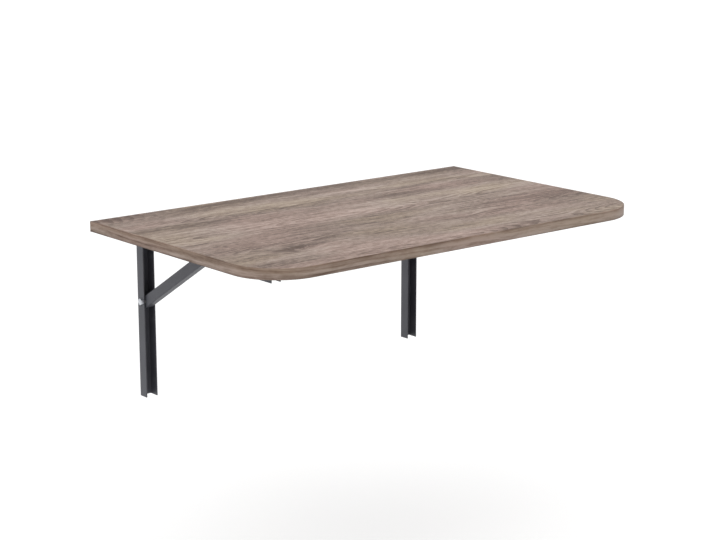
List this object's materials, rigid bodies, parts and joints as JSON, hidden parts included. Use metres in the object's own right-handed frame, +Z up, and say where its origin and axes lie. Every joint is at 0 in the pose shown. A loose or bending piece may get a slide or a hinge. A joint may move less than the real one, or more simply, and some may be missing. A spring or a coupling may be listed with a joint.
{
  "type": "wall mounted drop leaf table",
  "caption": "Rectangular wood-grain leaf with round front corners on folding steel brackets; it hinges down flat to the wall on sliding braces.",
  "frame": {"origin": "on the wall plane, in the middle of the rectangle of the four outer wall holes, halfway between the two brackets", "axes": "+X along the wall to the right as seen from the room, +Y into the wall, +Z up; the leaf is stored up, as in use"},
  "size_m": [1, 0.619, 0.397],
  "materials": {
    "leaf_laminate": "matt wood-grain melamine on particle board",
    "edge_band": "wood-grain plastic edging",
    "powder_coat": "fine anthracite powder coat on sheet steel",
    "zinc": "bright zinc plate",
    "nylon": "natural nylon"
  },
  "bodies": {
    "wall_frame": {"wall_channel_left": "powder_coat", "hinge_bolt_left": "zinc", "hinge_nut_left": "zinc", "hinge_washer_left": "zinc", "hinge_tube_left": "zinc", "pivot_bolt_left": "zinc", "pivot_nut_left": "zinc", "pivot_washer_left": "zinc", "pivot_tube_left": "zinc", "pivot_spacers_left": "nylon", "wall_channel_right": "powder_coat", "hinge_bolt_right": "zinc", "hinge_nut_right": "zinc", "hinge_washer_right": "zinc", "hinge_tube_right": "zinc", "pivot_bolt_right": "zinc", "pivot_nut_right": "zinc", "pivot_washer_right": "zinc", "pivot_tube_right": "zinc", "pivot_spacers_right": "nylon"},
    "leaf": {"tabletop_board": "leaf_laminate", "edge_band_front": "edge_band", "edge_band_back": "edge_band", "arm_left": "powder_coat", "arm_screws_left": "zinc", "arm_right": "powder_coat", "arm_screws_right": "zinc"},
    "left_brace": {"brace_left": "powder_coat", "slide_pin_left": "zinc"},
    "right_brace": {"brace_right": "powder_coat", "slide_pin_right": "zinc"}
  },
  "joints": [
    {"name": "leaf_drop", "type": "hinge", "parent": "wall_frame", "child": "leaf", "pos_m": [0, -0.012, 0.178], "axis": [1, 0, 0], "range_deg": [0, 90]},
    {"name": "left_brace_swing", "type": "hinge", "parent": "wall_frame", "child": "left_brace", "pos_m": [-0.366, -0.017, 0.0465], "axis": [1, 0, 0], "range_deg": [0, 118]},
    {"name": "right_brace_swing", "type": "hinge", "parent": "wall_frame", "child": "right_brace", "pos_m": [0.366, -0.017, 0.0465], "axis": [1, 0, 0], "range_deg": [0, 118]}
  ],
  "couplings": [
    {"joint": "left_brace_swing", "follows": "leaf_drop", "ratio": 1.3111},
    {"joint": "right_brace_swing", "follows": "leaf_drop", "ratio": 1.3111}
  ]
}
